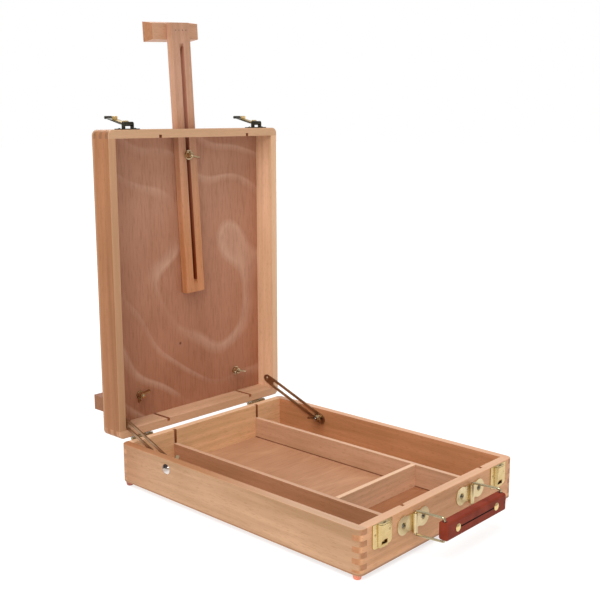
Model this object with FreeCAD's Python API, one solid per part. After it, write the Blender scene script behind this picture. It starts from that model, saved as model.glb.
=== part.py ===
"""Table-top sketch-box easel: a beech box whose lid opens upright and carries a sliding mast.

Millimetres, +Z up, +Y towards the lid's hinges, +X to the right seen from the handle.
The origin is the centre of the footprint, on the surface that the rubber feet stand on.
The lid is modelled open, at right angles to the base.
"""
import FreeCAD, Part
import math
import os

V = FreeCAD.Vector
X, Y, Z = V(1, 0, 0), V(0, 1, 0), V(0, 0, 1)
SIDES = (("left", -1), ("right", 1))

# ---- box -----------------------------------------------------------------------------
box_w = 270.0            # outside, along X
box_l = 360.0            # outside, along Y
base_h = 46.5            # base, underside to rim
lid_d = 31.0             # lid, rim to outer face
wall_t = 10.0
ply_t = 3.0              # plywood bottom and lid panel
corner_r = 7.0
rim_round = 1.2
finger_h = base_h / 8    # pitch of the finger joints
foot_h = 5.0
foot_r_top, foot_r_floor = 4.9, 3.6
foot_inset_x, foot_inset_y = 5.6, 7.6

# ---- dividers ------------------------------------------------------------------------
groove_x = (-60.0, 81.0)
groove_w = 4.0
groove_depth = 3.5
divider_t = 5.5
divider_top = 29.5       # above the base's underside
tongue_t = 3.6
tongue_len = 3.2
cross_y = -86.0

# ---- lid hinges ----------------------------------------------------------------------
hinge_x = (-102.0, 91.5)
hinge_len = 31.0
hinge_back = 2.0         # pin axis behind the box's back face
rim_gap = 0.5            # between the rims when the lid is shut
knuckle_r = 1.7
hinge_pin_r = 0.8
leaf_t = 0.9
leaf_w = 8.0
leaf_notch = 1.9           # what a leaf gives way to the other leaf's knuckles
knuckle_gap = 0.3

# ---- folding stays -------------------------------------------------------------------
stay_bolt_y = 98.0
stay_bolt_r = 2.5
stay_slot_w = 5.2
stay_w = 12.0
stay_t = 1.5
stay_wall_gap = 0.4
stay_eye_r = 4.8
stay_eye_u, stay_eye_v = 22.2, 10.6
stay_slot_start = 13.5   # from the eye's centre
stay_tail = 10.0         # from the bolt to the stay's end, lid open
dome_r, dome_h = 6.0, 2.8
washer_t = 1.0

# ---- mast ----------------------------------------------------------------------------
mast_w, mast_t = 28.6, 10.0
mast_lean = 2.75         # degrees: the loose fit in the lid's slot lets it lean to the left
mast_bolt_x, mast_bolt_u = -3.0, 328.5
mast_bottom_u, mast_top_u = 157.0, 484.0
mast_back_v = lid_d - ply_t - 0.3
mast_slot_w = 6.0
mast_slot_u = (166.5, 461.0)
mast_slot_slope = 12.0   # the slot's round ends run out at a slant
mast_bolt_r = 2.3
notch_gap = 0.8
clamp_w, clamp_deep = 71.0, 18.0
clamp_front_u = (465.6, mast_top_u)
clamp_back_u = (463.4, 487.0)
brad_r, brad_pitch, brad_u = 0.8, 5.4, 475.5

# ---- canvas ledge --------------------------------------------------------------------
ledge_deep = 17.0
ledge_u = (29.0, 45.4)
ledge_lip = 1.5          # the back edge stands this much higher
ledge_bolt_x, ledge_bolt_u = 81.0, 38.5
ledge_bolt_r = 2.0
ledge_head_r, ledge_head_h = 4.6, 2.0

# ---- wing nuts -----------------------------------------------------------------------
nut_hub_r, nut_tip_r, nut_hub_h = 4.6, 3.5, 5.0
wing_reach, wing_rise, wing_t = 11.0, 10.0, 1.8
nut_gap = 0.2
thread_gap = 0.08
stay_nut_turns = (150.0, 90.0)
mast_nut_turn = -22.0
ledge_nut_turns = (35.0, -8.0)

# ---- latches -------------------------------------------------------------------------
latch_x = 103.0          # left and right of the middle
latch_plate_w, latch_plate_v = 29.6, (0.6, 12.6)
plate_t = 1.0
latch_axis_v, latch_axis_out = 5.4, 6.2
latch_barrel_r, latch_pin_r = 2.5, 1.0
barrel_half, lug_t = 5.0, 1.6
lever_w, lever_t, lever_len = 13.0, 0.9, 36.5
lever_under = 0.95       # the lever's upper face lies this far under its pin
lever_open_deg = 14.0    # above the plane of the lid's end wall; 184 when it lies on the keeper
spring_w, spring_t = 7.0, 0.7
spring_arch = (3.2, 6.3, 3.0)    # from, to and rise, along the lever from its pin
claw_at, claw_rise, claw_len = 24.4, 3.7, 2.4
curl_r = 1.8

# ---- keepers -------------------------------------------------------------------------
keeper_h, keeper_drop = 24.5, 0.6
keeper_channel_x = 0.4
keeper_root_w, keeper_face_w = 14.4, 10.8
keeper_top_out, keeper_foot_out = 5.0, 2.9
keeper_hole_w, keeper_hole_z = 9.0, (24.3, 28.7)
keeper_tab_gap = 0.5

# ---- handle --------------------------------------------------------------------------
handle_x = -2.4          # middle of the handle's brackets
bracket_x = 50.6
bracket_z = 30.8         # above the base's underside
bracket_lobe_r, bracket_screw_x = 9.9, 16.2
bracket_waist = 8.4
dish_r, dish_floor = 3.5, 0.4      # the dished seat of each bracket screw
knuckle_r_wire = 2.6
knuckle_z = (19.2, 39.4)
wire_r = 1.25
wire_axis_out = 2.7      # in front of the front wall
bail_len = 31.4
bail_z = (17.2, 41.6)
bail_corner_r, bail_bend_r = 2.0, 3.2    # the bend above the grip is the wider one
bail_swing = 8.5         # degrees to the right of straight out
grip_l, grip_t, grip_h = 105.5, 10.8, 18.7
grip_z = 19.4
rivet_x, rivet_r, rivet_h = 34.8, 4.1, 1.4
stitch_w, stitch_deep = 1.2, 0.5

# ---- places worked out from the above ------------------------------------------------
half_w, half_l = box_w / 2, box_l / 2
rim_z = foot_h + base_h
hinge_y, hinge_z = half_l + hinge_back, rim_z + rim_gap / 2
lid_rim_y = hinge_y + rim_gap / 2
lid_foot_z = hinge_z + hinge_back
# the stay's eye with the lid open and shut; the bolt is set in line with both
eye_open = (lid_rim_y + stay_eye_v, lid_foot_z + stay_eye_u)
eye_shut = (hinge_y - (eye_open[1] - hinge_z), hinge_z + (eye_open[0] - hinge_y))
stay_slope = math.atan2(eye_open[1] - eye_shut[1], eye_open[0] - eye_shut[0])
stay_bolt_z = eye_open[1] - (eye_open[0] - stay_bolt_y) * math.tan(stay_slope)
stay_span = math.hypot(eye_open[0] - stay_bolt_y, eye_open[1] - stay_bolt_z)
front_reach = half_l + wire_axis_out + bail_len * math.cos(math.radians(bail_swing)) + grip_t / 2 + rivet_h
back_reach = lid_rim_y + lid_d + ledge_deep + ledge_head_h
origin_y = (back_reach - front_reach) / 2

parts = {}


# ---- building blocks -----------------------------------------------------------------
def keep(name, *solids):
    """Store solids as one node, moved into the row's frame."""
    shapes = []
    for solid in solids:
        moved = solid.copy()
        moved.translate(V(0, -origin_y, 0))
        shapes.append(moved)
    parts[name] = shapes[0] if len(shapes) == 1 else Part.makeCompound(shapes)


def block(x0, x1, y0, y1, z0, z1):
    return Part.makeBox(x1 - x0, y1 - y0, z1 - z0, V(x0, y0, z0))


def rod(start, axis, length, radius):
    return Part.makeCylinder(radius, length, start, axis)


def prism(points, direction):
    """A closed outline of points, pushed along a vector."""
    wire = Part.makePolygon(points + [points[0]])
    return Part.Face(wire).extrude(direction)


def dome(base, axis, radius, height):
    """A cap of a sphere that rises from a flat circle."""
    ball_r = (radius ** 2 + height ** 2) / (2 * height)
    centre = base - axis * (ball_r - height)
    ball = Part.makeSphere(ball_r, centre)
    return ball.common(rod(base, axis, height + 1, radius + 1))


def rounded(shape, radius, picks):
    """Round the edges for which picks(edge) is true."""
    edges = [edge for edge in shape.Edges if picks(edge)]
    return shape.makeFillet(radius, edges)


def along(edge, axis):
    """True for a straight edge that runs along an axis."""
    if not isinstance(edge.Curve, Part.Line):
        return False
    return abs(abs(edge.Curve.Direction.dot(axis)) - 1) < 1e-6


def lid_block(x0, x1, u0, u1, v0, v1):
    """A block of the lid: u runs up from its hinge end, v back from its rim."""
    return block(x0, x1, lid_rim_y + v0, lid_rim_y + v1, lid_foot_z + u0, lid_foot_z + u1)


def lid_point(x, u, v):
    return V(x, lid_rim_y + v, lid_foot_z + u)


def mirrored(shape):
    return shape.mirror(V(0, 0, 0), X)


# ---- the two trays -------------------------------------------------------------------
def tray_ring(depth):
    """The four walls as one ring with its rim at z = 0 and its back at z = -depth."""
    ring = block(-half_w, half_w, -half_l, half_l, -depth, 0)
    ring = rounded(ring, corner_r, lambda edge: along(edge, Z))
    ring = rounded(ring, rim_round, lambda edge: edge.BoundBox.ZMin > -1e-6)
    inside = block(-half_w + wall_t, half_w - wall_t, -half_l + wall_t, half_l - wall_t, -depth - 1, 1)
    return ring.cut(inside)


def corner_blocks(levels, depth):
    """The corner pieces at every second finger level, counted from the rim."""
    blocks = []
    for level in levels:
        top = -level * finger_h
        low = max(top - finger_h, -depth)
        if top <= low:
            continue
        for sx in (-1, 1):
            for sy in (-1, 1):
                x0, x1 = sorted((sx * half_w, sx * (half_w - wall_t)))
                y0, y1 = sorted((sy * half_l, sy * (half_l - wall_t)))
                blocks.append(block(x0 - 1 * (sx < 0), x1 + 1 * (sx > 0),
                                    y0 - 1 * (sy < 0), y1 + 1 * (sy > 0),
                                    low, top + 1 * (level == 0)))
    return blocks


def tray_walls(depth, sides_own_rim):
    """Left, right, near and far walls, finger-jointed, with the divider grooves cut."""
    ring = tray_ring(depth)
    even = corner_blocks(range(0, 10, 2), depth)
    odd = corner_blocks(range(1, 10, 2), depth)
    ends_gone, sides_gone = (even, odd) if sides_own_rim else (odd, even)
    walls = {}
    for name, sx in SIDES:
        x0, x1 = sorted((sx * (half_w - wall_t), sx * (half_w + 1)))
        slab = block(x0, x1, -half_l - 1, half_l + 1, -depth, 1)
        walls[name] = ring.common(slab).cut(sides_gone)
    for name, sy in (("near", -1), ("far", 1)):
        y0, y1 = sorted((sy * (half_l - wall_t), sy * (half_l + 1)))
        slab = block(-half_w - 1, half_w + 1, y0, y1, -depth, 1)
        wall = ring.common(slab).cut(ends_gone)
        for x in groove_x:
            g0, g1 = sorted((sy * (half_l - wall_t - 1), sy * (half_l - wall_t + groove_depth)))
            wall = wall.cut(block(x - groove_w / 2, x + groove_w / 2, g0, g1, -depth - 1, 1))
        walls[name] = wall
    return walls


def tray_panel(depth):
    """The plywood sheet under a tray's walls."""
    panel = block(-half_w, half_w, -half_l, half_l, -depth, -depth + ply_t)
    panel = rounded(panel, corner_r, lambda edge: along(edge, Z))
    return rounded(panel, 0.8, lambda edge: edge.BoundBox.ZMax < -depth + 1e-6)


def in_base(shape):
    """Move a tray from its own place to the base's, rim up."""
    moved = shape.copy()
    moved.translate(V(0, 0, rim_z))
    return moved


def in_lid(shape):
    """Turn a tray over and stand it up behind the base, rim towards the front."""
    moved = shape.copy()
    moved.rotate(V(0, 0, 0), X, 90)
    moved.translate(V(0, lid_rim_y, lid_foot_z + half_l))
    return moved


# ---- fasteners -----------------------------------------------------------------------
def screw(surface, out, head_r, head_h, shank_r, length):
    """A round-head screw, its head standing out of a surface."""
    body = dome(surface, out, head_r, head_h).fuse(rod(surface, out * -1, length, shank_r))
    slot_w, slot_deep = 0.6, head_h * 0.45
    side = X if abs(out.dot(X)) < 0.5 else Y
    cross = out.cross(side)
    corner = surface + out * (head_h - slot_deep) - side * head_r - cross * (slot_w / 2)
    points = [corner, corner + side * (2 * head_r), corner + side * (2 * head_r) + cross * slot_w,
              corner + cross * slot_w]
    return body.cut(prism(points, out * (slot_deep + 1))).removeSplitter()


def screw_hole(surface, out, shank_r, length):
    """What a screw needs cleared: its shank and a little more, from just above the surface."""
    return rod(surface + out * 0.01, out * -1, length + 0.31, shank_r + 0.1)


def washer(centre, axis, hole_r, outer_r):
    ring = rod(centre, axis, washer_t, outer_r).cut(rod(centre - axis, axis, washer_t + 2, hole_r))
    return ring


def wing_nut(base, axis, turn, bolt_r):
    """A wing nut seated on base, its two wings turned by turn degrees about its axis."""
    hub = Part.makeCone(nut_hub_r, nut_tip_r, nut_hub_h)
    outline = [V(1.0, 0, 0.6), V(nut_hub_r + 0.6, 0, 1.4), V(wing_reach - 1.6, 0, 4.2)]
    tip = Part.Arc(V(wing_reach - 1.6, 0, 4.2), V(wing_reach, 0, 7.4), V(wing_reach - 1.8, 0, wing_rise))
    back = [V(wing_reach - 1.8, 0, wing_rise), V(wing_reach - 4.6, 0, 7.4), V(nut_tip_r, 0, nut_hub_h - 0.4),
            V(1.0, 0, nut_hub_h - 0.8), V(1.0, 0, 0.6)]
    edges = [Part.makePolygon(outline), tip.toShape(), Part.makePolygon(back)]
    face = Part.Face(Part.Wire([edge for shape in edges for edge in shape.Edges]))
    wing = face.extrude(V(0, wing_t, 0))
    wing.translate(V(0, -wing_t / 2, 0))
    other = wing.copy()
    other.rotate(V(0, 0, 0), Z, 180)
    nut = hub.fuse([wing, other]).removeSplitter()
    nut = nut.cut(rod(V(0, 0, -1), Z, wing_rise + 5, bolt_r + thread_gap))
    nut.rotate(V(0, 0, 0), Z, turn)
    nut.Placement = FreeCAD.Placement(base, FreeCAD.Rotation(Z, axis)).multiply(nut.Placement)
    return nut


def bolt(head_face, axis, shank_r, length, head_r, head_h):
    """A mushroom-head bolt: its head stands on head_face and its shank runs along axis."""
    shank = rod(head_face, axis, length, shank_r)
    tip = dome(head_face + axis * length, axis, shank_r, shank_r * 0.45)
    return dome(head_face, axis * -1, head_r, head_h).fuse([shank, tip]).removeSplitter()


# ---- base ----------------------------------------------------------------------------
def build_base():
    walls = {name: in_base(wall) for name, wall in tray_walls(base_h - ply_t, True).items()}
    bolt_point = V(0, stay_bolt_y, stay_bolt_z)
    for name, sx in SIDES:
        hole = rod(bolt_point + X * (sx * (half_w + 1)), X * -sx, wall_t + 2, stay_bolt_r + 0.15)
        walls[name] = walls[name].cut(hole)
    walls["near"] = walls["near"].cut(build_front_hardware())
    walls["far"] = walls["far"].cut(build_base_leaves())
    keep("base_wall_left", walls["left"])
    keep("base_wall_right", walls["right"])
    keep("base_wall_front", walls["near"])
    keep("base_wall_back", walls["far"])
    keep("base_bottom_panel", in_base(tray_panel(base_h)))
    build_dividers()
    build_feet()
    build_stay_hardware()


def build_dividers():
    """Two long dividers with tongues in the grooves, and a short one across between them."""
    low, top = foot_h + ply_t, foot_h + divider_top
    reach = half_l - wall_t
    for name, x in zip(("left", "right"), groove_x):
        board = block(x - divider_t / 2, x + divider_t / 2, -reach, reach, low, top)
        board = rounded(board, 0.6, lambda edge: along(edge, Y) and edge.BoundBox.ZMin > top - 0.1)
        tongue = block(x - tongue_t / 2, x + tongue_t / 2, -reach - tongue_len, reach + tongue_len, low, top - 0.8)
        keep("divider_" + name, board.fuse(tongue).removeSplitter())
    x0, x1 = groove_x[0] + divider_t / 2, groove_x[1] - divider_t / 2
    board = block(x0, x1, cross_y - divider_t / 2, cross_y + divider_t / 2, low, top)
    keep("divider_cross", rounded(board, 0.6, lambda edge: along(edge, X) and edge.BoundBox.ZMin > top - 0.1))


def build_feet():
    feet = []
    for sx in (-1, 1):
        for sy in (-1, 1):
            centre = V(sx * (half_w - foot_inset_x), sy * (half_l - foot_inset_y), 0)
            foot = Part.makeCone(foot_r_floor, foot_r_top, foot_h, centre, Z)
            feet.append(rounded(foot, 0.7, lambda edge: edge.BoundBox.ZMax < 0.1))
    keep("rubber_feet", *feet)


def build_stay_hardware():
    """Bolts through the side walls, with the washers and wing nuts that clamp the stays."""
    bolts, washers = [], []
    stack = wall_t + stay_wall_gap + stay_t + nut_gap
    for (name, sx), turn in zip(SIDES, stay_nut_turns):
        head = V(sx * half_w, stay_bolt_y, stay_bolt_z)
        inward = X * -sx
        bolts.append(bolt(head, inward, stay_bolt_r, stack + washer_t + nut_gap + nut_hub_h + 1.2, dome_r, dome_h))
        washers.append(washer(head + inward * stack, inward, stay_bolt_r + thread_gap, 6.0))
        seat = head + inward * (stack + washer_t + nut_gap)
        keep("stay_wing_nut_" + name, wing_nut(seat, inward, turn, stay_bolt_r))
    keep("stay_bolts", *bolts)
    keep("stay_washers", *washers)


# ---- front hardware: keepers and handle ----------------------------------------------
def build_front_hardware():
    """Make the keepers, brackets, bails and grip. Returns the screw holes in the front wall."""
    holes, keeper_screws, bracket_screws = [], [], []
    forward = Y * -1
    for name, sx in SIDES:
        keeper = keeper_shape(sx * latch_x)
        for dx in (-11.0, 11.0):
            at = V(sx * latch_x + dx, -half_l - plate_t, foot_h + 35.0)
            keeper_screws.append(screw(at, forward, 1.7, 0.8, 0.9, 8.0))
            hole = screw_hole(at, forward, 0.9, 8.0)
            keeper = keeper.cut(hole)
            holes.append(hole)
        keep("keeper_" + name, keeper)
        bracket_at = handle_x + sx * bracket_x
        bracket = bracket_shape(bracket_at)
        for dx in (-bracket_screw_x, bracket_screw_x):
            at = V(bracket_at + dx, -half_l - dish_floor, foot_h + bracket_z)
            bracket_screws.append(screw(at, forward, 2.7, 1.5, 1.3, 8.5))
            hole = screw_hole(at, forward, 1.3, 8.5)
            bracket = bracket.cut([hole, rod(at, forward, 2.0, dish_r)])
            holes.append(hole)
        keep("handle_bracket_" + name, bracket)
        keep("handle_bail_" + name, bail_shape(bracket_at))
    keep("keeper_screws", *keeper_screws)
    keep("bracket_screws", *bracket_screws)
    build_grip()
    return holes


def keeper_shape(x):
    """A plate with a hollow channel that stands out more at the rim than at its foot."""
    top, low = rim_z - keeper_drop, rim_z - keeper_drop - keeper_h
    y = -half_l
    plate = block(x - latch_plate_w / 2, x + latch_plate_w / 2, y - plate_t, y, low, top)
    plate = rounded(plate, 4.0, lambda edge: along(edge, Y) and edge.BoundBox.ZMax < low + 0.1)
    mid = x + keeper_channel_x
    tab_low = top - 1.0
    outer = keeper_channel(mid, low, tab_low - keeper_tab_gap, 0, 0)
    inner = keeper_channel(mid, low - 1, top, 0.9, plate_t)
    tab = keeper_channel(mid, tab_low, top, 0, 0)
    window = block(mid - keeper_hole_w / 2, mid + keeper_hole_w / 2, y - 8, y - plate_t,
                   foot_h + keeper_hole_z[0], foot_h + keeper_hole_z[1])
    eye = block(mid - 1.7, mid + 1.7, y - keeper_top_out + 1.2, y - keeper_top_out + 2.9, tab_low - 1, top + 1)
    return plate.fuse([outer.cut([inner, window]), tab.cut(eye)]).removeSplitter()


def keeper_channel(mid, z0, z1, thin, back):
    """The channel's body between two heights, thinner all round by thin, its back at back from the wall."""
    rim, span = rim_z - keeper_drop, keeper_h
    outlines = []
    for z in (z0, z1):
        out = keeper_top_out - (keeper_top_out - keeper_foot_out) * (rim - z) / span - thin
        root, face = keeper_root_w / 2 - thin, keeper_face_w / 2 - thin
        corners = [(mid - root, back), (mid - face, out), (mid + face, out), (mid + root, back)]
        points = [V(x, -half_l - y, z) for x, y in corners]
        outlines.append(Part.makePolygon(points + [points[0]]))
    return Part.makeLoft(outlines, True, True)


def bracket_shape(x):
    """A two-lobed plate with an upright knuckle that the bail's wire turns in."""
    z, y = foot_h + bracket_z, -half_l
    forward = Y * -1
    lobes = [rod(V(x + dx, y, z), forward, plate_t, bracket_lobe_r) for dx in (-bracket_screw_x, bracket_screw_x)]
    waist = block(x - bracket_screw_x, x + bracket_screw_x, y - plate_t, y, z - bracket_waist, z + bracket_waist)
    low, top = foot_h + knuckle_z[0], foot_h + knuckle_z[1]
    tube = rod(V(x, y - wire_axis_out, low), Z, top - low, knuckle_r_wire)
    web = block(x - wire_r - 0.4, x + wire_r + 0.4, y - wire_axis_out, y, low, top)
    bore = rod(V(x, y - wire_axis_out, low - 1), Z, top - low + 2, wire_r + 0.1)
    return lobes[0].fuse([lobes[1], waist, web, tube]).cut(bore).removeSplitter()


def bail_shape(x):
    """A closed rectangle of wire: one leg in the bracket's knuckle, the other in the grip."""
    low, top = foot_h + bail_z[0], foot_h + bail_z[1]
    r, bend = bail_corner_r, bail_bend_r
    pieces = [rod(V(0, 0, low + r), Z, top - low - 2 * r, wire_r),
              rod(V(0, -bail_len, low + r), Z, top - low - r - bend, wire_r),
              rod(V(0, -r, low), Y * -1, bail_len - 2 * r, wire_r),
              rod(V(0, -r, top), Y * -1, bail_len - r - bend, wire_r)]
    for cy, cz, radius, start in ((-r, top - r, r, 0), (-bail_len + bend, top - bend, bend, 90),
                                  (-bail_len + r, low + r, r, 180), (-r, low + r, r, 270)):
        ring = Part.Face(Part.Wire(Part.makeCircle(wire_r, V(0, cy + radius, cz), Z)))
        ring.rotate(V(0, cy, cz), X, start)
        pieces.append(ring.revolve(V(0, cy, cz), X, 90))
    wire = pieces[0].fuse(pieces[1:]).removeSplitter()
    wire.rotate(V(0, 0, 0), Z, bail_swing)
    wire.translate(V(x, -half_l - wire_axis_out, 0))
    return wire


def build_grip():
    """The padded grip between the bails, with its two rivets and the stitched line between."""
    swing = math.radians(bail_swing)
    cx = handle_x + bail_len * math.sin(swing)
    cy = -half_l - wire_axis_out - bail_len * math.cos(swing)
    low, top = foot_h + grip_z, foot_h + grip_z + grip_h
    front = cy - grip_t / 2
    grip = block(cx - grip_l / 2, cx + grip_l / 2, front, cy + grip_t / 2, low, top)
    grip = rounded(grip, 2.6, lambda edge: along(edge, X))
    grip = rounded(grip, 1.0, lambda edge: edge.BoundBox.XLength < 0.1)
    for dx in (-bracket_x, bracket_x):
        grip = grip.cut(rod(V(cx + dx, cy, low - 1), Z, grip_h + 2, wire_r + 0.1))
    middle = (low + top) / 2
    line = block(cx - rivet_x, cx + rivet_x, front - 1, front + stitch_deep, middle - stitch_w / 2, middle + stitch_w / 2)
    rivets = []
    for dx in (-rivet_x, rivet_x):
        at = V(cx + dx, front, middle)
        rivets.append(dome(at, Y * -1, rivet_r, rivet_h).fuse(rod(at, Y, 3.0, 1.5)).removeSplitter())
        line = line.cut(rod(V(cx + dx, front - 2, middle), Y, 4, rivet_r))
        grip = grip.cut(rod(at - Y, Y, 4.1, 1.6))
    keep("handle_grip", grip.cut(line))
    keep("grip_rivets", *rivets)


# ---- lid hinges ----------------------------------------------------------------------
def knuckle(x0, x1):
    tube = rod(V(x0, hinge_y, hinge_z), X, x1 - x0, knuckle_r)
    return tube.cut(rod(V(x0 - 1, hinge_y, hinge_z), X, x1 - x0 + 2, hinge_pin_r + 0.05))


def hinge_spans(x):
    """The three knuckles of a hinge: the outer two belong to the base, the middle one to the lid."""
    start, third = x - hinge_len / 2, hinge_len / 3
    return [(start, start + third - knuckle_gap), (start + third, start + 2 * third),
            (start + 2 * third + knuckle_gap, start + hinge_len)]


def build_base_leaves():
    """Leaves, pins and screws of the base's half of the hinges. Returns the screw holes in the wall."""
    holes, screws, pins = [], [], []
    for name, x in zip(("left", "right"), hinge_x):
        spans = hinge_spans(x)
        face = half_l + leaf_t
        leaf = block(x - hinge_len / 2, x + hinge_len / 2, half_l, face, rim_z - leaf_w, rim_z - leaf_notch)
        leaf = rounded(leaf, 1.2, lambda edge: along(edge, Y) and edge.BoundBox.ZMax < rim_z - leaf_w + 0.1)
        for x0, x1 in (spans[0], spans[2]):
            strap = block(x0, x1, half_l, face, rim_z - leaf_notch - 0.1, hinge_z)
            leaf = leaf.fuse([strap, knuckle(x0, x1)])
        leaf = leaf.cut(rod(V(x - hinge_len, hinge_y, hinge_z), X, 2 * hinge_len, hinge_pin_r + 0.05))
        for dx in (-9.5, 9.5):
            at = V(x + dx, face, rim_z - 4.9)
            screws.append(screw(at, Y, 1.7, 0.7, 0.8, 7.0))
            hole = screw_hole(at, Y, 0.8, 7.0)
            leaf = leaf.cut(hole)
            holes.append(hole)
        keep("hinge_leaf_base_" + name, leaf.removeSplitter())
        pins.append(rod(V(x - hinge_len / 2, hinge_y, hinge_z), X, hinge_len, hinge_pin_r))
    keep("hinge_screws_base", *screws)
    keep("hinge_pins", *pins)
    return holes


def build_lid_leaves():
    """Leaves and screws of the lid's half of the hinges. Returns the screw holes in the wall."""
    holes, screws = [], []
    for name, x in zip(("left", "right"), hinge_x):
        x0, x1 = hinge_spans(x)[1]
        leaf = lid_block(x - hinge_len / 2, x + hinge_len / 2, -leaf_t, 0, leaf_notch, leaf_w)
        leaf = rounded(leaf, 1.2, lambda edge: along(edge, Z) and edge.BoundBox.YMin > lid_rim_y + leaf_w - 0.1)
        strap = lid_block(x0, x1, -leaf_t, 0, hinge_y - lid_rim_y, leaf_notch + 0.1)
        leaf = leaf.fuse([strap, knuckle(x0, x1)])
        leaf = leaf.cut(rod(V(x - hinge_len, hinge_y, hinge_z), X, 2 * hinge_len, hinge_pin_r + 0.05))
        for dx in (-9.5, 9.5):
            at = lid_point(x + dx, -leaf_t, 4.9)
            screws.append(screw(at, Z * -1, 1.7, 0.7, 0.8, 7.0))
            hole = screw_hole(at, Z * -1, 0.8, 7.0)
            leaf = leaf.cut(hole)
            holes.append(hole)
        keep("hinge_leaf_lid_" + name, leaf.removeSplitter())
    keep("hinge_screws_lid", *screws)
    return holes


# ---- lid -----------------------------------------------------------------------------
def mast_centre_x(u):
    """Where the leaning mast's middle is, at a height u up the lid."""
    return mast_bolt_x - (u - mast_bolt_u) * math.tan(math.radians(mast_lean))


def build_lid():
    walls = {name: in_lid(wall) for name, wall in tray_walls(lid_d - ply_t, False).items()}
    panel = in_lid(tray_panel(lid_d))
    half_notch = mast_w / 2 + notch_gap
    middle = mast_centre_x(box_l - wall_t / 2)
    notch = lid_block(middle - half_notch, middle + half_notch, box_l - wall_t - 1, box_l + 1,
                      mast_back_v - mast_t - 0.4, lid_d - ply_t)
    walls["far"] = walls["far"].cut([notch] + build_latches())
    walls["near"] = walls["near"].cut(build_lid_leaves())
    panel = panel.cut(build_ledge() + build_mast_bolt())
    keep("lid_wall_left", walls["left"])
    keep("lid_wall_right", walls["right"])
    keep("lid_wall_hinge_end", walls["near"])
    keep("lid_wall_free_end", walls["far"])
    keep("lid_panel", panel)


def build_ledge():
    """The canvas ledge behind the lid, with its bolts, washers and wing nuts."""
    u0, u1 = ledge_u
    v0, v1 = lid_d, lid_d + ledge_deep
    ledge = prism([lid_point(-half_w, u0, v0), lid_point(-half_w, u1, v0),
                   lid_point(-half_w, u1 + ledge_lip, v1), lid_point(-half_w, u0, v1)], X * box_w)
    ledge = rounded(ledge, 0.9, lambda edge: edge.BoundBox.YMin > lid_rim_y + v0 + 0.1)
    holes, bolts, washers = [], [], []
    forward = Y * -1
    grip = ledge_deep + ply_t
    for (name, sx), turn in zip(SIDES, ledge_nut_turns):
        head = lid_point(sx * ledge_bolt_x, ledge_bolt_u, v1)
        bolts.append(bolt(head, forward, ledge_bolt_r, grip + washer_t + nut_gap + nut_hub_h + 1.2,
                          ledge_head_r, ledge_head_h))
        washers.append(washer(head + forward * grip, forward, ledge_bolt_r + thread_gap, 5.5))
        holes.append(rod(head + Y, forward, grip + 2, ledge_bolt_r + 0.15))
        seat = head + forward * (grip + washer_t + nut_gap)
        keep("ledge_wing_nut_" + name, wing_nut(seat, forward, turn, ledge_bolt_r))
    keep("canvas_ledge", ledge.cut(holes))
    keep("ledge_bolts", *bolts)
    keep("ledge_washers", *washers)
    return holes


def build_mast_bolt():
    """The bolt that the mast slides on, with its washer and wing nut. Returns its hole."""
    head = lid_point(mast_bolt_x, mast_bolt_u, lid_d)
    forward = Y * -1
    to_mast = lid_d - mast_back_v + mast_t + 0.3
    keep("mast_bolt", bolt(head, forward, mast_bolt_r, to_mast + washer_t + nut_gap + nut_hub_h + 1.4, 5.0, 2.0))
    keep("mast_washer", washer(head + forward * to_mast, forward, mast_bolt_r + thread_gap, 6.0))
    seat = head + forward * (to_mast + washer_t + nut_gap)
    keep("mast_wing_nut", wing_nut(seat, forward, mast_nut_turn, mast_bolt_r))
    return [rod(head + Y, forward, ply_t + 2, mast_bolt_r + 0.15)]


# ---- mast ----------------------------------------------------------------------------
def leaning(shape):
    """Lean a shape that was built upright on the mast bolt."""
    shape.rotate(lid_point(mast_bolt_x, mast_bolt_u, 0), Y, -mast_lean)
    return shape


def build_mast():
    x, v1 = mast_bolt_x, mast_back_v
    v0 = v1 - mast_t
    bar = lid_block(x - mast_w / 2, x + mast_w / 2, mast_bottom_u, mast_top_u, v0, v1)
    bar = rounded(bar, 0.8, lambda edge: along(edge, Z) or edge.BoundBox.ZMax < lid_foot_z + mast_bottom_u + 0.1)
    u0, u1 = mast_slot_u
    side = x - mast_slot_w / 2
    slant = prism([lid_point(side, u0, v0 - 0.01), lid_point(side, u1, v0 - 0.01),
                   lid_point(side, u1 - mast_slot_slope, v1 + 0.01),
                   lid_point(side, u0 + mast_slot_slope, v1 + 0.01)], X * mast_slot_w)
    end_r = mast_slot_w / 2
    ends = [rod(lid_point(x, u, v0 - 1), Y, mast_t + 2, end_r) for u in (u0 + end_r, u1 - end_r)]
    run = lid_block(side, side + mast_slot_w, u0 + end_r, u1 - end_r, v0 - 1, v1 + 1)
    slot = run.fuse(ends).removeSplitter().common(slant)
    half = clamp_w / 2
    clamp = prism([lid_point(x - half, clamp_front_u[0], v1), lid_point(x - half, clamp_front_u[1], v1),
                   lid_point(x - half, clamp_back_u[1], v1 + clamp_deep),
                   lid_point(x - half, clamp_back_u[0], v1 + clamp_deep)], X * clamp_w)
    clamp = rounded(clamp, 0.7, lambda edge: edge.BoundBox.YMin > lid_rim_y + v1 + clamp_deep - 0.1)
    brads = []
    for step in (-1.5, -0.5, 0.5, 1.5):
        start = lid_point(x + step * brad_pitch, brad_u, v0 - 0.1)
        brads.append(rod(start, Y, mast_t + 8.0, brad_r))
    bored = [rod(lid_point(x + step * brad_pitch, brad_u, v0 - 1), Y, mast_t + 9.2, brad_r + 0.02)
             for step in (-1.5, -0.5, 0.5, 1.5)]
    keep("mast_bar", leaning(bar.cut([slot] + bored)))
    keep("canvas_clamp", leaning(clamp.cut(bored)))
    keep("mast_brads", *[leaning(brad) for brad in brads])


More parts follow.
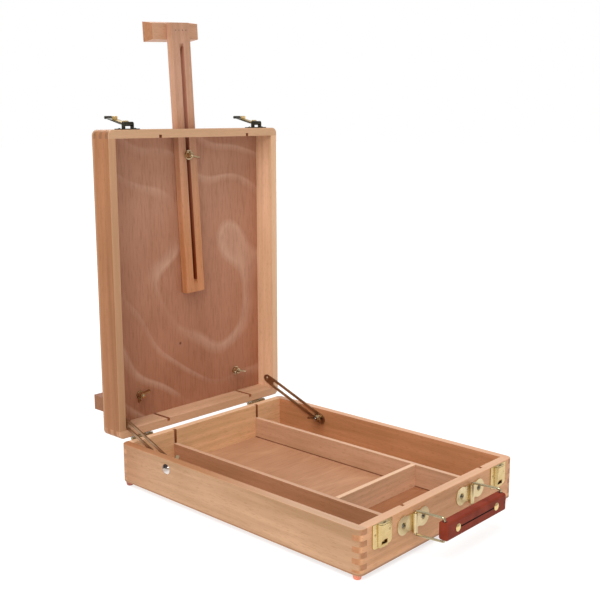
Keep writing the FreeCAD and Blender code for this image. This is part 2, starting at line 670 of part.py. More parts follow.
# ---- latches -------------------------------------------------------------------------
def latch_axis(x):
    return lid_point(x, box_l + latch_axis_out, latch_axis_v)


def build_latches():
    """Plates, pins and levers on the lid's free end. Returns the screw holes in the wall."""
    holes, screws, pins = [], [], []
    for name, sx in SIDES:
        x = sx * latch_x
        plate = latch_plate_shape(x)
        for dx in (-11.2, 11.2):
            at = lid_point(x + dx, box_l + plate_t, (latch_plate_v[0] + latch_plate_v[1]) / 2)
            screws.append(screw(at, Z, 1.8, 0.8, 0.9, 8.0))
            hole = screw_hole(at, Z, 0.9, 8.0)
            plate = plate.cut(hole)
            holes.append(hole)
        keep("latch_plate_" + name, plate)
        reach = barrel_half + 0.3 + lug_t
        pins.append(rod(latch_axis(x) - X * reach, X, 2 * reach, latch_pin_r))
        lever, hook = lever_shapes(x)
        keep("latch_lever_" + name, lever)
        keep("latch_hook_" + name, hook)
    keep("latch_screws", *screws)
    keep("latch_pins", *pins)
    return holes


def latch_plate_shape(x):
    """The plate on the lid's end wall, with two lugs that carry the lever's pin."""
    v0, v1 = latch_plate_v
    plate = lid_block(x - latch_plate_w / 2, x + latch_plate_w / 2, box_l, box_l + plate_t, v0, v1)
    plate = rounded(plate, 2.5, lambda edge: along(edge, Z))
    axis = latch_axis(x)
    solids = []
    for sx in (-1, 1):
        start = x + sx * (barrel_half + 0.3)
        x0, x1 = sorted((start, start + sx * lug_t))
        web = lid_block(x0, x1, box_l, box_l + latch_axis_out, latch_axis_v - latch_barrel_r,
                        latch_axis_v + latch_barrel_r)
        eye = rod(V(x0, axis.y, axis.z), X, lug_t, latch_barrel_r)
        solids += [web, eye]
    plate = plate.fuse(solids).removeSplitter()
    return plate.cut(rod(axis - X * 20, X, 40, latch_pin_r + 0.02))


def lever_shapes(x):
    """The lever and its sprung hook, drawn lying along +Y from the pin, then raised to the open angle."""
    face = -lever_under
    barrel = rod(V(-barrel_half, 0, 0), X, 2 * barrel_half, latch_barrel_r)
    neck = block(-barrel_half, barrel_half, 0, 6.0, face - lever_t, face)
    arm = block(-lever_w / 2, lever_w / 2, 5.0, lever_len, face - lever_t, face)
    arm = rounded(arm, 1.6, lambda edge: along(edge, Z))
    curl = rod(V(-lever_w / 2 + 1.5, lever_len, face - lever_t / 2), X, lever_w - 3.0, curl_r)
    lever = barrel.fuse([neck, arm, curl]).removeSplitter()
    lever = lever.cut(rod(V(-10, 0, 0), X, 20, latch_pin_r + 0.05))
    hook = spring_shape(face)
    placed = []
    for shape in (lever, hook):
        shape.rotate(V(0, 0, 0), X, lever_open_deg)
        shape.translate(latch_axis(x))
        placed.append(shape)
    return placed


def spring_shape(face):
    """The sprung strip on a lever: a low arch by the pin, then flat, then the claw that grips the keeper."""
    start, end, rise = spring_arch
    low, top = face, face + spring_t
    outline = [(start, low), (start, low + rise), (start + 0.6, top + rise), (end - 1.4, top + rise),
               (end, top), (claw_at, top), (claw_at, low + claw_rise - spring_t),
               (claw_at - 0.01, low + claw_rise), (claw_at + claw_len, low + claw_rise),
               (claw_at + claw_len, low + claw_rise - 1.5), (claw_at + claw_len - spring_t, low + claw_rise - 1.5),
               (claw_at + claw_len - spring_t, low + claw_rise - spring_t),
               (claw_at + spring_t, low + claw_rise - spring_t), (claw_at + spring_t, low),
               (end - 0.3, low), (end - 1.7, low + rise), (start + spring_t, low + rise), (start + spring_t, low)]
    points = [V(-spring_w / 2, t, z) for t, z in outline]
    return prism(points, X * spring_w)


# ---- stays ---------------------------------------------------------------------------
def build_stays():
    """Slotted bars from the lid's sides to the bolts in the base's sides.

    A stay is drawn lying along Y with the bolt at 0 and its eye at -stay_span, then turned into place.
    """
    half, slot_r = stay_w / 2, stay_slot_w / 2
    tail = stay_tail - half
    taper = prism([V(0, -stay_span, -stay_eye_r), V(0, -stay_span, stay_eye_r),
                   V(0, -stay_span + stay_slot_start, half), V(0, tail, half),
                   V(0, tail, -half), V(0, -stay_span + stay_slot_start, -half)], X * stay_t)
    ends = [rod(V(0, -stay_span, 0), X, stay_t, stay_eye_r), rod(V(0, tail, 0), X, stay_t, half)]
    bar = taper.fuse(ends).removeSplitter()
    start = -stay_span + stay_slot_start + slot_r
    slot = block(-1, stay_t + 1, start, 0, -slot_r, slot_r)
    slot = slot.fuse([rod(V(-1, start, 0), X, stay_t + 2, slot_r), rod(V(-1, 0, 0), X, stay_t + 2, slot_r)])
    bar = bar.cut([slot.removeSplitter(), rod(V(-1, -stay_span, 0), X, stay_t + 2, 1.55)])
    pivot = dome(V(stay_t, -stay_span, 0), X, 2.9, 1.4).fuse(rod(V(-0.2, -stay_span, 0), X, stay_t + 0.2, 1.5))
    outer = half_w - wall_t - stay_wall_gap
    for node, shape in (("stay_", bar), ("stay_pivot_", pivot.removeSplitter())):
        shape.rotate(V(0, 0, 0), X, -math.degrees(stay_slope))
        shape.rotate(V(0, 0, 0), Z, 180)
        shape.translate(V(outer, stay_bolt_y, stay_bolt_z))
        keep(node + "right", shape)
        keep(node + "left", mirrored(shape))


build_base()
build_lid()
build_mast()
build_stays()

os.makedirs("parts", exist_ok=True)
for node, shape in sorted(parts.items()):
    solids = shape.Solids
    if not shape.isValid() or not solids:
        print("check", node)
    shape.exportStep("parts/%s.step" % node)
box = Part.makeCompound(list(parts.values())).BoundBox
print("%d nodes, box %.2f..%.2f  %.2f..%.2f  %.2f..%.2f" % (
    len(parts), box.XMin, box.XMax, box.YMin, box.YMax, box.ZMin, box.ZMax))
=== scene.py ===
"""The looks of the table-top sketch-box easel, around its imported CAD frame."""
import math

import bpy
from mathutils import Matrix, Vector

MM = 0.001
WHITE = (1.0, 1.0, 1.0)

# ---- camera: measured from the middle of the feet's plane ------------------------------
CAMERA_AT = Vector((-776.5, -697.8, 419.7)) * MM
CAMERA_AZIMUTH, CAMERA_DOWN, CAMERA_ROLL = -45.787, 10.622, -0.442
LENS_MM, SENSOR_MM = 57.01, 36.0
SHIFT = (0.0485, 0.00203)

# ---- light -----------------------------------------------------------------------------
SKY_LOW, SKY_HIGH = 0.30, 0.74      # the studio's brightness near the floor and overhead
SKY_TOP = 0.55                      # how high a ray points where the brightness stops rising
FLOOR_SIZE = 30.0
FLOOR_GLOW = 0.72                   # keeps the contact shadows light
FLOOR_GREYS, FLOOR_PATCHES = ((0.34, 0.34, 0.34), (0.33, 0.33, 0.33)), 3.0
SUN_FROM = Vector((-0.40, -0.16, 0.90))
SUN_STRENGTH, SUN_ANGLE, SUN_COLOUR = 1.9, 40.0, (1.0, 0.985, 0.96)
LAMPS = (  # name, place, size in metres, power in watts, colour
    ("strip left", (-1.5, -0.5, 0.9), 0.5, 5.0, (1.0, 0.99, 0.97)),
    ("strip back", (0.6, 1.5, 1.3), 0.6, 6.0, WHITE),
)
LAMP_TARGET = Vector((0.0, 0.0, 0.12))

# ---- node helpers ----------------------------------------------------------------------
AXES = {"X": 0, "Y": 1, "Z": 2}
EVEN = (1.0, 1.0, 1.0)
NOISE_MEAN = 0.5


def stretched(axis, share):
    """A scale that draws a pattern out along one axis."""
    return tuple(share if k == AXES[axis] else 1.0 for k in range(3))


class Shader:
    """A material under construction: short names for the nodes that the materials below use."""

    def __init__(self, name, roughness, metallic=0.0, **sockets):
        self.material = bpy.data.materials.new(name)
        self.material.use_nodes = True
        self.tree = self.material.node_tree
        self.bsdf = self.tree.nodes["Principled BSDF"]
        self.bsdf.inputs["Roughness"].default_value = roughness
        self.bsdf.inputs["Metallic"].default_value = metallic
        for socket, value in sockets.items():
            self.bsdf.inputs[socket.replace("_", " ")].default_value = value
        self.place = self.tree.nodes.new("ShaderNodeTexCoord")

    def link(self, source, target):
        self.tree.links.new(source, target)

    def feed(self, socket, value):
        """Link a value's output to a socket, or set the socket to a plain value."""
        if isinstance(value, bpy.types.NodeSocket):
            self.link(value, socket)
        else:
            socket.default_value = value

    def math(self, operation, a, b=0.0):
        node = self.tree.nodes.new("ShaderNodeMath")
        node.operation = operation
        self.feed(node.inputs[0], a)
        self.feed(node.inputs[1], b)
        return node.outputs[0]

    def add(self, a, b):
        return self.math("ADD", a, b)

    def times(self, a, b):
        return self.math("MULTIPLY", a, b)

    def apart(self, value, centre):
        """How far a value is from centre."""
        return self.math("ABSOLUTE", self.math("SUBTRACT", value, centre))

    def within(self, value, low, high):
        """1 between low and high, 0 outside."""
        above = self.math("GREATER_THAN", value, low)
        return self.times(above, self.math("LESS_THAN", value, high))

    def span(self, value, low, high, to_low=0.0, to_high=1.0):
        """Map low..high to to_low..to_high, clamped."""
        node = self.tree.nodes.new("ShaderNodeMapRange")
        for socket, number in zip(node.inputs, (value, low, high, to_low, to_high)):
            self.feed(socket, number)
        return node.outputs[0]

    def axes(self, source="Object"):
        """The X, Y and Z of a position (Object) or a direction (Normal)."""
        node = self.tree.nodes.new("ShaderNodeSeparateXYZ")
        self.link(self.place.outputs[source], node.inputs[0])
        return node.outputs

    def compare(self, operation, source, vector):
        """A position or direction measured against a fixed vector, as one number."""
        node = self.tree.nodes.new("ShaderNodeVectorMath")
        node.operation = operation
        self.link(self.place.outputs[source], node.inputs[0])
        node.inputs[1].default_value = vector
        return node.outputs["Value"]

    def scaled(self, scale=EVEN, turn=(0.0, 0.0, 0.0), shift=(0.0, 0.0, 0.0)):
        """Positions in metres, scaled, turned and shifted, to place a pattern by."""
        node = self.tree.nodes.new("ShaderNodeMapping")
        self.link(self.place.outputs["Object"], node.inputs["Vector"])
        node.inputs["Scale"].default_value = scale
        node.inputs["Rotation"].default_value = turn
        node.inputs["Location"].default_value = shift
        return node.outputs[0]

    def noise(self, vector, scale, detail=3.0, rough=0.5, distortion=0.0):
        node = self.tree.nodes.new("ShaderNodeTexNoise")
        self.link(vector, node.inputs["Vector"])
        node.inputs["Scale"].default_value = scale
        node.inputs["Detail"].default_value = detail
        node.inputs["Roughness"].default_value = rough
        node.inputs["Distortion"].default_value = distortion
        return node.outputs["Fac"]

    def mix(self, share, a, b, blend="MIX"):
        node = self.tree.nodes.new("ShaderNodeMix")
        node.data_type, node.blend_type = "RGBA", blend
        self.feed(node.inputs[0], share)
        self.feed(node.inputs[6], (*a, 1.0) if isinstance(a, tuple) else a)
        self.feed(node.inputs[7], (*b, 1.0) if isinstance(b, tuple) else b)
        return node.outputs[2]

    def tinge(self, colour, factor):
        """A colour multiplied by another."""
        return self.mix(1.0, colour, factor, "MULTIPLY")

    def colour(self, value):
        self.feed(self.bsdf.inputs["Base Color"], value)

    def rough(self, value):
        self.feed(self.bsdf.inputs["Roughness"], value)

    def bump(self, height, depth, strength):
        node = self.tree.nodes.new("ShaderNodeBump")
        node.inputs["Strength"].default_value = strength
        node.inputs["Distance"].default_value = depth
        self.link(height, node.inputs["Height"])
        self.link(node.outputs["Normal"], self.bsdf.inputs["Normal"])


# ---- beech -----------------------------------------------------------------------------
# Noises are (scale, detail, roughness, distortion). A range is what span() takes: where a value
# starts and ends to count, and what it becomes there. Tints are what tinted() takes.
GRAIN_STRETCH, FLECK_STRETCH = 0.045, 0.14   # along the grain, against 1 across it
SEED_STEPS = (1.7, 0.9, 2.3)
BROAD_GRAIN, FINE_GRAIN = (22.0, 3.0, 0.5, 0.7), (150.0, 3.0, 0.6)
PATCHES, FLECKS, END_RINGS = (9.0, 2.0, 0.5), (960.0, 1.0, 0.4), (240.0, 4.0, 0.6)
BROAD_WEIGHT, FINE_WEIGHT, PATCH_WEIGHT = 0.7, 0.65, 0.5
TONE_RANGE, FLECK_RANGE, RING_RANGE = (0.485, 0.885), (0.57, 0.72), (0.35, 0.65)
LIGHT_TINT, DARK_TINT, FLECK_TINT = (1.20, -0.04), (0.79, 0.10), (0.64, 0.28)
FLECK_SHARE, FLECK_DENT = 0.42, -0.5
END_GRAIN, END_SHARE, OWN_SHARE = (0.45, 0.185, 0.080), 0.65, 0.26
END_RANGE, END_LIGHT_TINT, END_DARK_TINT = (0.55, 0.85), (1.08, 0.0), (0.86, 0.10)
UP, FORWARD = (0.0, 0.0, 1.0), (0.0, -1.0, 0.0)
# painted highlight: faces that look these ways, such as rims, are paler and pinker, as where the
# light falls
RIM_LIGHT_COLOURS = {UP: (0.66, 0.44, 0.315), FORWARD: (0.66, 0.405, 0.235)}
RIM_LIGHT_RANGE, RIM_LIGHT_GRAIN_RANGE = (0.5, 0.9, 0.0, 0.55), (0.3, 0.7, 0.0, 0.22)
BEECH_ROUGH_RANGE = (0.3, 0.7, 0.44, 0.58)

FADING_RIM = "base_wall_left"                # its painted rim highlight turns a darker red towards the back, and its back end is darker
RIM_FADE_Y, RIM_FADE_COLOUR = (-0.10, 0.03), (0.375, 0.135, 0.055)
BACK_END_Y, BACK_END_SHADE = (0.10, 0.16), (0.84, 0.73, 0.66)
SHADOWED_DIVIDER = "divider_right"             # a painted contact shadow runs along its foot
FOOT_SHADOW_TOP_Z, FOOT_SHADOW_SHARE, FOOT_SHADOW_COLOUR = 0.0094, 0.85, (0.15, 0.045, 0.018)

GROOVE_X, GROOVE_HALF = (-0.060, 0.081), 0.00206
# painted shade inside the divider grooves
GROOVE_SHADE_SHARE, GROOVE_SHADE_COLOUR = 0.8, (0.34, 0.115, 0.048)
GROOVES = {  # node: axis through the groove's depth, and where it starts and ends
    "base_wall_front": ("Y", -0.1795, -0.1758),
    "base_wall_back": ("Y", 0.1641, 0.1678),
    "lid_wall_hinge_end": ("Z", 0.0601, 0.0638),
    "lid_wall_free_end": ("Z", 0.4037, 0.4074),
}
DARKER_ENDS = {"lid_wall_free_end": 0.62, "canvas_ledge": 0.74}
WOOD = {  # node: grain, base colour, the way its rim faces for the painted rim highlight
    "base_wall_left": ("Y", (0.46, 0.262, 0.145), UP),
    "base_wall_right": ("Y", (0.54, 0.245, 0.112), UP),
    "base_wall_front": ("X", (0.60, 0.308, 0.155), UP),
    "base_wall_back": ("X", (0.80, 0.49, 0.265), UP),
    "divider_left": ("Y", (0.435, 0.21, 0.112), UP),
    "divider_right": ("Y", (0.54, 0.31, 0.19), UP),
    "divider_cross": ("X", (0.77, 0.50, 0.32), UP),
    "lid_wall_left": ("Z", (0.34, 0.14, 0.056), FORWARD),
    "lid_wall_right": ("Z", (0.80, 0.50, 0.31), FORWARD),
    "lid_wall_hinge_end": ("X", (0.56, 0.33, 0.20), FORWARD),
    "lid_wall_free_end": ("X", (0.47, 0.26, 0.145), FORWARD),
    "canvas_ledge": ("X", (0.245, 0.092, 0.041), None),
    "canvas_clamp": ("X", (0.47, 0.25, 0.145), None),
}

MAST_SEED = 21
MAST_TOP_COLOUR, MAST_FOOT_COLOUR = (0.50, 0.27, 0.172), (0.52, 0.21, 0.085)
MAST_LEAN, MAST_PIVOT = 2.75, (-0.003, 0.38225)
MAST_FADE_Z, SLOT_SHADE_FADE_Z = (0.25, 0.45), (0.25, 0.48)
SLOT_HALF, SLOT_Z = 0.00305, (0.2265, 0.5105)
# painted shade on the walls of the mast's slot, darker low down
SLOT_SHADE_COLOURS = ((0.26, 0.046, 0.009), (0.46, 0.20, 0.12))


def tinted(colour, factor, warm):
    """A colour scaled in brightness; a positive warm takes blue away and adds a little red."""
    red, green, blue = colour
    return (red * factor * (1 + 0.3 * warm), green * factor, blue * factor * (1 - warm))


def beech(name, grain, colour, seed, turn=0.0, end=1.0, lit_facing=None, fading=False):
    """Planed beech with its grain along one axis; faces across the grain show darker end grain.

    A rim direction, if given, makes faces that look that way, such as a rim, paler and pinker as a
    painted highlight; fading turns that highlight a darker red towards the back and darkens the
    back end. Returns the shader, its colour, its fine grain and its flecks.
    """
    s = Shader(name, roughness=0.5, Specular_IOR_Level=0.3)
    shift = tuple(seed * step for step in SEED_STEPS)
    tilt = (0.0, math.radians(turn), 0.0)
    along = s.scaled(stretched(grain, GRAIN_STRETCH), tilt, shift)
    plain = s.scaled(EVEN, tilt, shift)
    broad, fine = s.noise(along, *BROAD_GRAIN), s.noise(along, *FINE_GRAIN)
    patch = s.math("SUBTRACT", s.noise(plain, *PATCHES), NOISE_MEAN)
    flecks = s.noise(s.scaled(stretched(grain, FLECK_STRETCH), tilt, shift), *FLECKS)
    fleck = s.span(flecks, *FLECK_RANGE)
    tone = s.add(s.times(broad, BROAD_WEIGHT), s.times(fine, FINE_WEIGHT))
    tone = s.span(s.add(tone, s.times(patch, PATCH_WEIGHT)), *TONE_RANGE)
    side = s.mix(tone, tinted(colour, *LIGHT_TINT), tinted(colour, *DARK_TINT))
    side = s.mix(s.times(fleck, FLECK_SHARE), side, tinted(colour, *FLECK_TINT))

    across = s.math("ABSOLUTE", s.axes("Normal")[AXES[grain]])
    rings = s.span(s.noise(plain, *END_RINGS), *RING_RANGE)
    sawn = tuple(end * (OWN_SHARE * c + END_SHARE * e) for c, e in zip(colour, END_GRAIN))
    ends = s.mix(rings, tinted(sawn, *END_LIGHT_TINT), tinted(sawn, *END_DARK_TINT))
    wood = s.mix(s.span(across, *END_RANGE), side, ends)
    # painted highlight on faces that look the rim way; with fading it turns a darker red towards
    # the back
    if lit_facing:
        facing = s.compare("DOT_PRODUCT", "Normal", lit_facing)
        rim_light = RIM_LIGHT_COLOURS[lit_facing]
        if fading:
            back = s.axes()[AXES["Y"]]
            rim_light = s.mix(s.span(back, *RIM_FADE_Y), rim_light, RIM_FADE_COLOUR)
            wood = s.mix(s.span(back, *BACK_END_Y), wood, s.tinge(wood, BACK_END_SHADE))
        rim_light = s.mix(s.span(fine, *RIM_LIGHT_GRAIN_RANGE), rim_light, colour)
        wood = s.mix(s.span(facing, *RIM_LIGHT_RANGE), wood, rim_light)
    return s, wood, fine, fleck


def finish_beech(s, colour, fine, fleck):
    s.colour(colour)
    s.rough(s.span(fine, *BEECH_ROUGH_RANGE))
    s.bump(s.add(fine, s.times(fleck, FLECK_DENT)), depth=0.12 * MM, strength=0.35)
    return s.material


def plain_beech(node, grain, colour, seed, lit_facing):
    """Beech for a wall, divider, ledge or clamp; painted shade darkens the insides of the divider
    grooves.
    """
    s, wood, fine, fleck = beech("beech " + node, grain, colour, seed, lit_facing=lit_facing,
                                 end=DARKER_ENDS.get(node, 1.0), fading=node == FADING_RIM)
    if node in GROOVES:
        axis, low, high = GROOVES[node]
        at = s.axes()
        nearest = s.math("MINIMUM", *(s.apart(at[0], x) for x in GROOVE_X))
        inside = s.within(at[AXES[axis]], low, high)
        inside = s.times(inside, s.math("LESS_THAN", nearest, GROOVE_HALF))
        # painted shade inside the grooves
        wood = s.mix(s.times(inside, GROOVE_SHADE_SHARE), wood, GROOVE_SHADE_COLOUR)
    # painted contact shadow along the foot of one divider
    if node == SHADOWED_DIVIDER:
        foot = s.math("LESS_THAN", s.axes()[AXES["Z"]], FOOT_SHADOW_TOP_Z)
        wood = s.mix(s.times(foot, FOOT_SHADOW_SHARE), wood, FOOT_SHADOW_COLOUR)
    return finish_beech(s, wood, fine, fleck)


def mast_beech():
    """Beech for the mast, redder towards its foot; painted shade darkens the sawn walls of its
    slot.
    """
    s, wood, fine, fleck = beech("beech mast", "Z", MAST_FOOT_COLOUR, MAST_SEED, MAST_LEAN)
    lean = math.radians(MAST_LEAN)
    at = s.axes()
    height = at[2]
    shade = tuple(top / foot for foot, top in zip(MAST_FOOT_COLOUR, MAST_TOP_COLOUR))
    wood = s.tinge(wood, s.mix(s.span(height, *MAST_FADE_Z), WHITE, shade))
    x = s.times(s.math("SUBTRACT", at[0], MAST_PIVOT[0]), math.cos(lean))
    z = s.times(s.math("SUBTRACT", height, MAST_PIVOT[1]), math.sin(lean))
    in_slot = s.math("LESS_THAN", s.math("ABSOLUTE", s.add(x, z)), SLOT_HALF)
    in_slot = s.times(in_slot, s.within(height, *SLOT_Z))
    # painted shade on the slot's walls, darker low down
    slot_shade = s.mix(s.span(height, *SLOT_SHADE_FADE_Z), *SLOT_SHADE_COLOURS)
    return finish_beech(s, s.mix(in_slot, wood, slot_shade), fine, fleck)


# ---- plywood ---------------------------------------------------------------------------
HILLS, LINE_GAPS, CLOUDS = (5.0, 1.0, 0.4), (13.0, 2.0, 0.5), (16.0, 3.0, 0.55)
PORES, STREAKS = (620.0, 2.0, 0.6), (60.0, 2.0, 0.5)
LINES_ALONG, LINES_UPHILL, LINES_ASIDE = 10.0, 5.5, 7.0   # how closely the contours follow
LINE_RISE, LINE_FALL, LINE_SHARE = (0.10, 0.30), (0.30, 0.37, 1.0, 0.0), 0.68
GAP_RANGE, CLOUD_RANGE = (0.36, 0.60, 0.15, 1.0), (0.38, 0.66, 0.0, 0.5)
STREAK_RANGE, PORE_RANGE = (0.4, 0.7, 0.0, 0.28), (0.48, 0.72, 0.0, 0.34)
CLOUD_SHADE, STREAK_SHADE = (0.80, 0.72, 0.66), (0.82, 0.76, 0.70)
PORE_SHADE = (0.50, 0.40, 0.34)
KNOT_AT, KNOT_RANGE = (-0.0145, 0.2044, 0.146), (0.0010, 0.0024, 0.8, 0.0)
KNOT_COLOUR = (0.10, 0.035, 0.02)
EDGE_RANGE, EDGE_GRAIN_RANGE = (0.75, 0.45), (0.35, 0.65, 0.0, 0.3)
EDGE_PLY, CORE_PLY, EDGE_GRAIN = (0.50, 0.29, 0.165), (0.34, 0.17, 0.09), (0.30, 0.15, 0.08)
CORE_HALF = 0.18                    # of the sheet's thickness
LID_SHEET = {
    "seed": 0.3, "along": "Z",
    "tones": (0.12, 0.40, (0.455, 0.198, 0.112), (0.48, 0.245, 0.155)),
    "pale": (0.60, 0.36, 0.25), "streak": stretched("Z", 0.10),
    "sheet": ("Y", 0.2044, 0.2074), "knot": True,
}
BOTTOM_SHEET = {
    "seed": 1.9, "along": "Y",
    "tones": (-0.13, -0.05, (0.285, 0.100, 0.036), (0.455, 0.238, 0.133)),
    "pale": (0.55, 0.31, 0.18), "streak": stretched("X", 0.05),
    "sheet": ("Z", 0.005, 0.008), "figure": 0.6,
}


def lauan(name, seed, along, tones, pale, streak, sheet, figure=1.0, knot=False):
    """Rotary-cut plywood veneer: fine straight pores, and pale wavy lines like a map's contours.

    tones are (start, end, colour at start, colour at end) along one axis. sheet is (axis, low,
    high): the sheet's thickness, whose edges show three plies. figure is how strong the lines are.
    """
    s = Shader(name, roughness=0.56, Specular_IOR_Level=0.2)
    shift = (seed, seed * 1.3, seed * 0.7)
    plain, straight = s.scaled(shift=shift), s.scaled(streak, shift=shift)
    pores, streaks = s.noise(straight, *PORES), s.noise(straight, *STREAKS)
    at = s.axes()
    place = at[AXES[along]]
    start, end, first, last = tones
    light = s.mix(s.span(place, start, end), first, last)

    level = s.add(s.times(place, LINES_ALONG), s.times(s.noise(plain, *HILLS), LINES_UPHILL))
    step = s.math("FRACT", s.add(level, s.times(at[0], LINES_ASIDE)))
    line = s.times(s.span(step, *LINE_RISE), s.span(step, *LINE_FALL))
    line = s.times(line, s.span(s.noise(plain, *LINE_GAPS), *GAP_RANGE))

    clouds = s.span(s.noise(plain, *CLOUDS), *CLOUD_RANGE)
    face = s.mix(clouds, light, s.tinge(light, CLOUD_SHADE))
    face = s.mix(s.span(streaks, *STREAK_RANGE), face, s.tinge(face, STREAK_SHADE))
    face = s.mix(s.times(line, LINE_SHARE * figure), face, pale)
    face = s.mix(s.span(pores, *PORE_RANGE), face, s.tinge(face, PORE_SHADE))
    if knot:
        away = s.compare("DISTANCE", "Object", KNOT_AT)
        face = s.mix(s.span(away, *KNOT_RANGE), face, KNOT_COLOUR)

    axis, low, high = sheet
    facing = s.math("ABSOLUTE", s.axes("Normal")[AXES[axis]])
    depth = s.apart(s.span(at[AXES[axis]], low, high), 0.5)
    plies = s.mix(s.math("LESS_THAN", depth, CORE_HALF), EDGE_PLY, CORE_PLY)
    plies = s.mix(s.span(streaks, *EDGE_GRAIN_RANGE), plies, EDGE_GRAIN)
    s.colour(s.mix(s.span(facing, *EDGE_RANGE), face, plies))
    s.bump(pores, depth=0.1 * MM, strength=0.3)
    return s.material


# ---- metal, leather and rubber ---------------------------------------------------------
METALS = {  # name: bright colour, dull colour, roughness, the nodes made of it
    "bright brass": ((0.80, 0.61, 0.30), (0.68, 0.48, 0.20), 0.24, (
        "grip_rivets", "latch_hook_left", "latch_hook_right")),
    "keeper brass": ((0.69, 0.52, 0.25), (0.53, 0.38, 0.16), 0.24, (
        "keeper_left", "keeper_right", "keeper_screws")),
    "bracket brass": ((0.72, 0.58, 0.34), (0.58, 0.45, 0.24), 0.32, (
        "handle_bracket_left", "handle_bracket_right")),
    "antique brass": ((0.42, 0.31, 0.17), (0.20, 0.14, 0.07), 0.30, (
        "hinge_leaf_base_left", "hinge_leaf_base_right", "hinge_leaf_lid_left",
        "hinge_leaf_lid_right", "hinge_screws_base", "hinge_screws_lid", "hinge_pins")),
    "bronze": ((0.42, 0.27, 0.165), (0.27, 0.165, 0.095), 0.36, (
        "stay_left", "stay_right", "stay_pivot_left", "stay_pivot_right")),
    "nut brass": ((0.57, 0.43, 0.26), (0.36, 0.25, 0.14), 0.20, (
        "stay_wing_nut_left", "stay_wing_nut_right", "stay_washers", "mast_bolt",
        "mast_washer", "mast_wing_nut", "ledge_bolts", "ledge_washers",
        "ledge_wing_nut_left", "ledge_wing_nut_right")),
    "blackened brass": ((0.085, 0.078, 0.055), (0.045, 0.040, 0.030), 0.30, (
        "latch_plate_left", "latch_plate_right", "latch_lever_left", "latch_lever_right",
        "latch_screws", "latch_pins")),
    "bail brass": ((0.55, 0.48, 0.31), (0.36, 0.30, 0.18), 0.22, (
        "handle_bail_left", "handle_bail_right")),
    "screw steel": ((0.27, 0.24, 0.165), (0.15, 0.13, 0.09), 0.26, ("bracket_screws",)),
    "dull steel": ((0.30, 0.20, 0.13), (0.22, 0.14, 0.09), 0.5, ("mast_brads",)),
}
TARNISH, SCRATCHES, SCRATCH_STRETCH = (60.0, 4.0, 0.6), (900.0, 2.0, 0.6), 0.12
TARNISH_RANGE, WEAR_RANGE = (0.35, 0.7), (0.7, 1.3)
SMOOTHEST, ROUGHEST = 0.75, 1.3     # times a metal's own roughness

CEILING_LEAN = 0.45                 # how much a face that looks back also takes the painted ceiling reflection
CHROME_CLOUDS, CHROME_TONES = (90.0, 3.0, 0.6), ((0.54, 0.46, 0.41), (0.42, 0.35, 0.31))
# painted reflections: the pale floor on faces that look down, a dark ceiling on faces that look up
CHROME_FLOOR_REFLECTION_RANGE, CHROME_FLOOR_REFLECTION = (-0.15, -0.5, 0.0, 0.6), (0.88, 0.87, 0.86)
CHROME_CEILING_REFLECTION_RANGE, CHROME_CEILING_REFLECTION = (0.16, 0.30, 0.0, 0.93), (0.04, 0.035, 0.035)

SOFT_RANGE = (0.3, 0.7)             # of the noise in leather and rubber
LEATHER_CELLS, LEATHER_CLOUDS = 900.0, (70.0, 3.0, 0.5)
# the second colour is painted shade in the stitched groove and the darker ring around the bails'
# holes
LEATHER_TONES, LEATHER_SHADE_AND_RING = ((0.236, 0.038, 0.018), (0.160, 0.024, 0.011)), (0.028, 0.007, 0.005)
GRIP_MIDDLE = (0.00224, -0.21960, 0.03375)
STITCH_HALF, STITCH_FRONT_Y, STITCH_RANGE = 0.0348, -0.22445, (0.0006, 0.0011, 1.0, 0.0)
HOLE_ASIDE, HOLE_RANGE, HOLE_FACE_RANGE = 0.0506, (0.0017, 0.0030, 0.9, 0.0), (0.0086, 0.0092)

RUBBER_GRAIN, RUBBER_TONES = (500.0, 3.0, 0.6), ((0.84, 0.27, 0.16), (0.74, 0.215, 0.125))
RUBBER_SHADE_Y, RUBBER_BACK_SHADE = (0.05, 0.12), (0.34, 0.10, 0.062)     # painted shade: the back feet are darker


def metal(name, bright, dull, roughness):
    """Plated sheet metal with slight tarnish and fine scratches."""
    s = Shader(name, roughness, metallic=1.0)
    clouds = s.noise(s.scaled(), *TARNISH)
    scratch = s.noise(s.scaled(stretched("Z", SCRATCH_STRETCH)), *SCRATCHES)
    s.colour(s.mix(s.span(clouds, *TARNISH_RANGE), bright, dull))
    wear = s.add(clouds, scratch)
    s.rough(s.span(wear, *WEAR_RANGE, roughness * SMOOTHEST, roughness * ROUGHEST))
    s.bump(scratch, depth=0.04 * MM, strength=0.4)
    return s.material


def chrome():
    """Bright plating with a painted reflection: a dark ceiling in its upper part, the pale floor
    below.
    """
    s = Shader("chrome", roughness=0.12, metallic=1.0)
    normal = s.axes("Normal")
    lean = s.add(normal[2], s.times(normal[1], CEILING_LEAN))
    plate = s.mix(s.noise(s.scaled(), *CHROME_CLOUDS), *CHROME_TONES)
    # painted reflections of the floor and the ceiling
    plate = s.mix(s.span(lean, *CHROME_FLOOR_REFLECTION_RANGE), plate, CHROME_FLOOR_REFLECTION)
    s.colour(s.mix(s.span(lean, *CHROME_CEILING_REFLECTION_RANGE), plate, CHROME_CEILING_REFLECTION))
    return s.material


